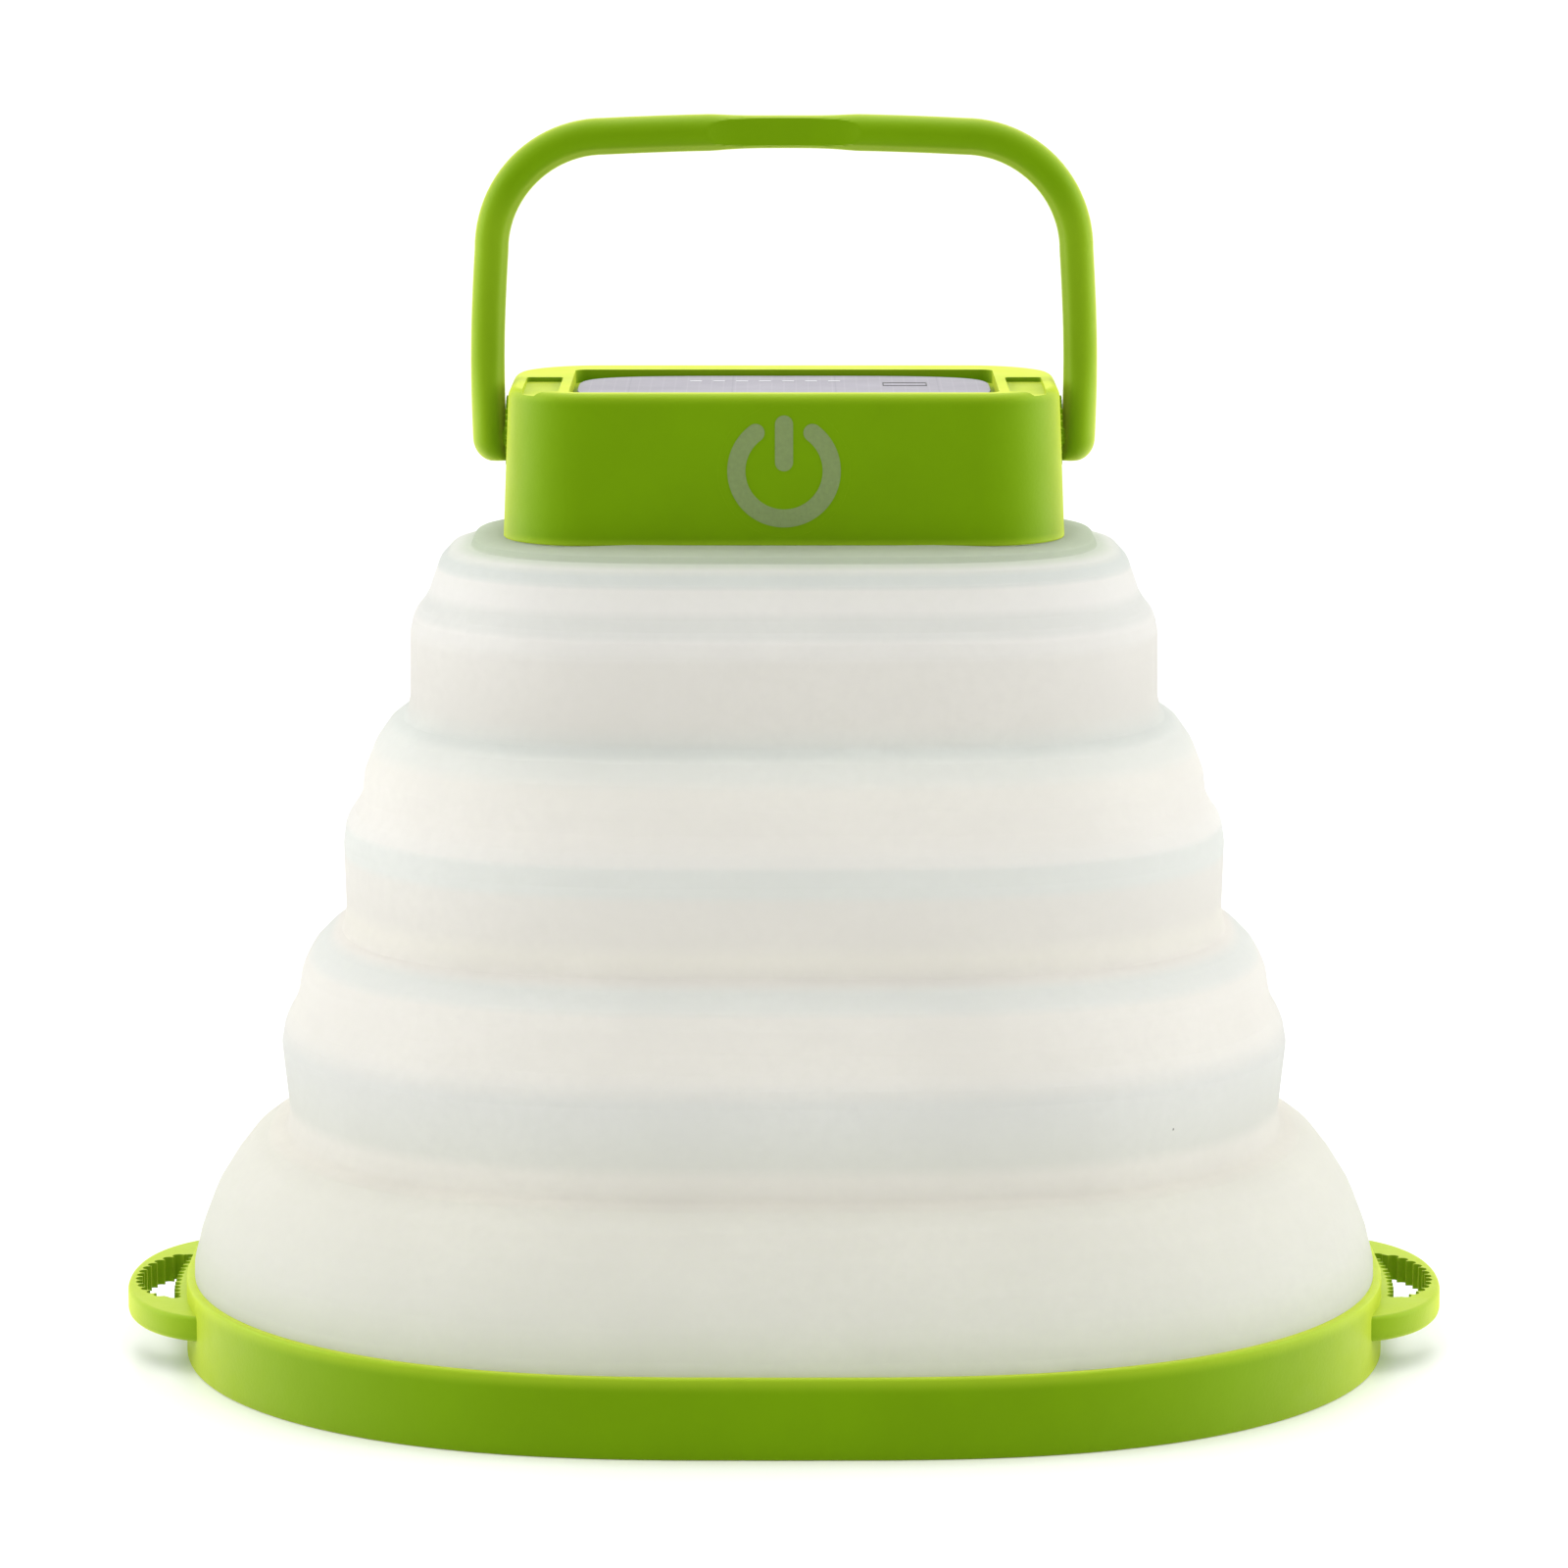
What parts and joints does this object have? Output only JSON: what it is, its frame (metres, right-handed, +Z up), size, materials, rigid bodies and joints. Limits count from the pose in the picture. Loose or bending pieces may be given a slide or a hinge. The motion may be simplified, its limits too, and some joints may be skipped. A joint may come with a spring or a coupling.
{
  "type": "camping lantern",
  "caption": "Collapsible camping lantern: solar cap with a bail handle over a stepped, frosted silicone bellows that folds flat into a ring base with hanging loops.",
  "frame": {"origin": "centre of the underside of the base ring, on the surface it stands on", "axes": "+Z up, -Y is the front with the power key, +X runs through the right hanging loop"},
  "size_m": [0.134, 0.0962, 0.1238],
  "materials": {
    "lime_plastic": "satin",
    "key_rubber": "matte",
    "silicone": "frosted translucent",
    "solar_laminate": "satin",
    "white_plastic": "satin",
    "circuit_board": "satin",
    "led_package": "satin",
    "clear_window": "clear",
    "battery_foil": "satin",
    "steel": "plated",
    "dark_plastic": "satin"
  },
  "bodies": {
    "base": {"base_ring": "lime_plastic", "base_plate": "white_plastic", "foot_clamp": "lime_plastic", "bellows_foot": "silicone", "base_screw_1": "steel", "base_screw_2": "steel", "base_screw_3": "steel", "base_screw_4": "steel", "base_screw_5": "steel", "base_screw_6": "steel"},
    "lower_band": {"bellows_wall_lower": "silicone", "bellows_web_1": "silicone"},
    "middle_band": {"bellows_wall_middle": "silicone", "bellows_web_2": "silicone"},
    "upper_band": {"bellows_wall_upper": "silicone", "bellows_web_3": "silicone"},
    "cap": {"cap_shell": "lime_plastic", "solar_panel": "solar_laminate", "bellows_collar": "silicone", "bellows_web_4": "silicone", "chassis_plate": "white_plastic", "collar_clamp": "white_plastic", "chassis_screw_1": "steel", "chassis_screw_2": "steel", "chassis_screw_3": "steel", "chassis_screw_4": "steel", "main_board": "circuit_board", "switch_board": "circuit_board", "led_board": "circuit_board", "led_window": "clear_window", "battery_cell": "battery_foil", "tactile_switch": "dark_plastic", "usb_socket": "steel", "led_chip_1": "led_package", "led_chip_2": "led_package", "led_chip_3": "led_package", "led_chip_4": "led_package", "led_chip_5": "led_package", "led_chip_6": "led_package"},
    "power_button": {"power_button": "key_rubber"},
    "usb_cover": {"usb_cover": "key_rubber"},
    "handle": {"handle": "lime_plastic"}
  },
  "joints": [
    {"name": "collapse_lower", "type": "slide", "parent": "base", "child": "lower_band", "axis": [0, 0, -1], "range_m": [0, 0.0207], "deforming": ["bellows_web_1"]},
    {"name": "collapse_middle", "type": "slide", "parent": "lower_band", "child": "middle_band", "axis": [0, 0, -1], "range_m": [0, 0.0205], "deforming": ["bellows_web_2"]},
    {"name": "collapse_upper", "type": "slide", "parent": "middle_band", "child": "upper_band", "axis": [0, 0, -1], "range_m": [0, 0.0214], "deforming": ["bellows_web_3"]},
    {"name": "collapse_cap", "type": "slide", "parent": "upper_band", "child": "cap", "axis": [0, 0, -1], "range_m": [0, 0.0122], "deforming": ["bellows_web_4"]},
    {"name": "power_press", "type": "slide", "parent": "cap", "child": "power_button", "axis": [0, 1, 0], "range_m": [0, 0.0006], "stiffness_N_per_m": 800},
    {"name": "port_cover_hinge", "type": "hinge", "parent": "cap", "child": "usb_cover", "pos_m": [0.014, 0.0147, 0.0852], "axis": [-1, 0, 0], "range_deg": [0, 100]},
    {"name": "handle_swing", "type": "hinge", "parent": "cap", "child": "handle", "pos_m": [0, 0, 0.0918], "axis": [1, 0, 0], "range_deg": [-90, 90]}
  ],
  "couplings": [
    {"joint": "collapse_middle", "follows": "collapse_lower", "ratio": 0.9903},
    {"joint": "collapse_upper", "follows": "collapse_lower", "ratio": 1.0338},
    {"joint": "collapse_cap", "follows": "collapse_lower", "ratio": 0.5893}
  ]
}
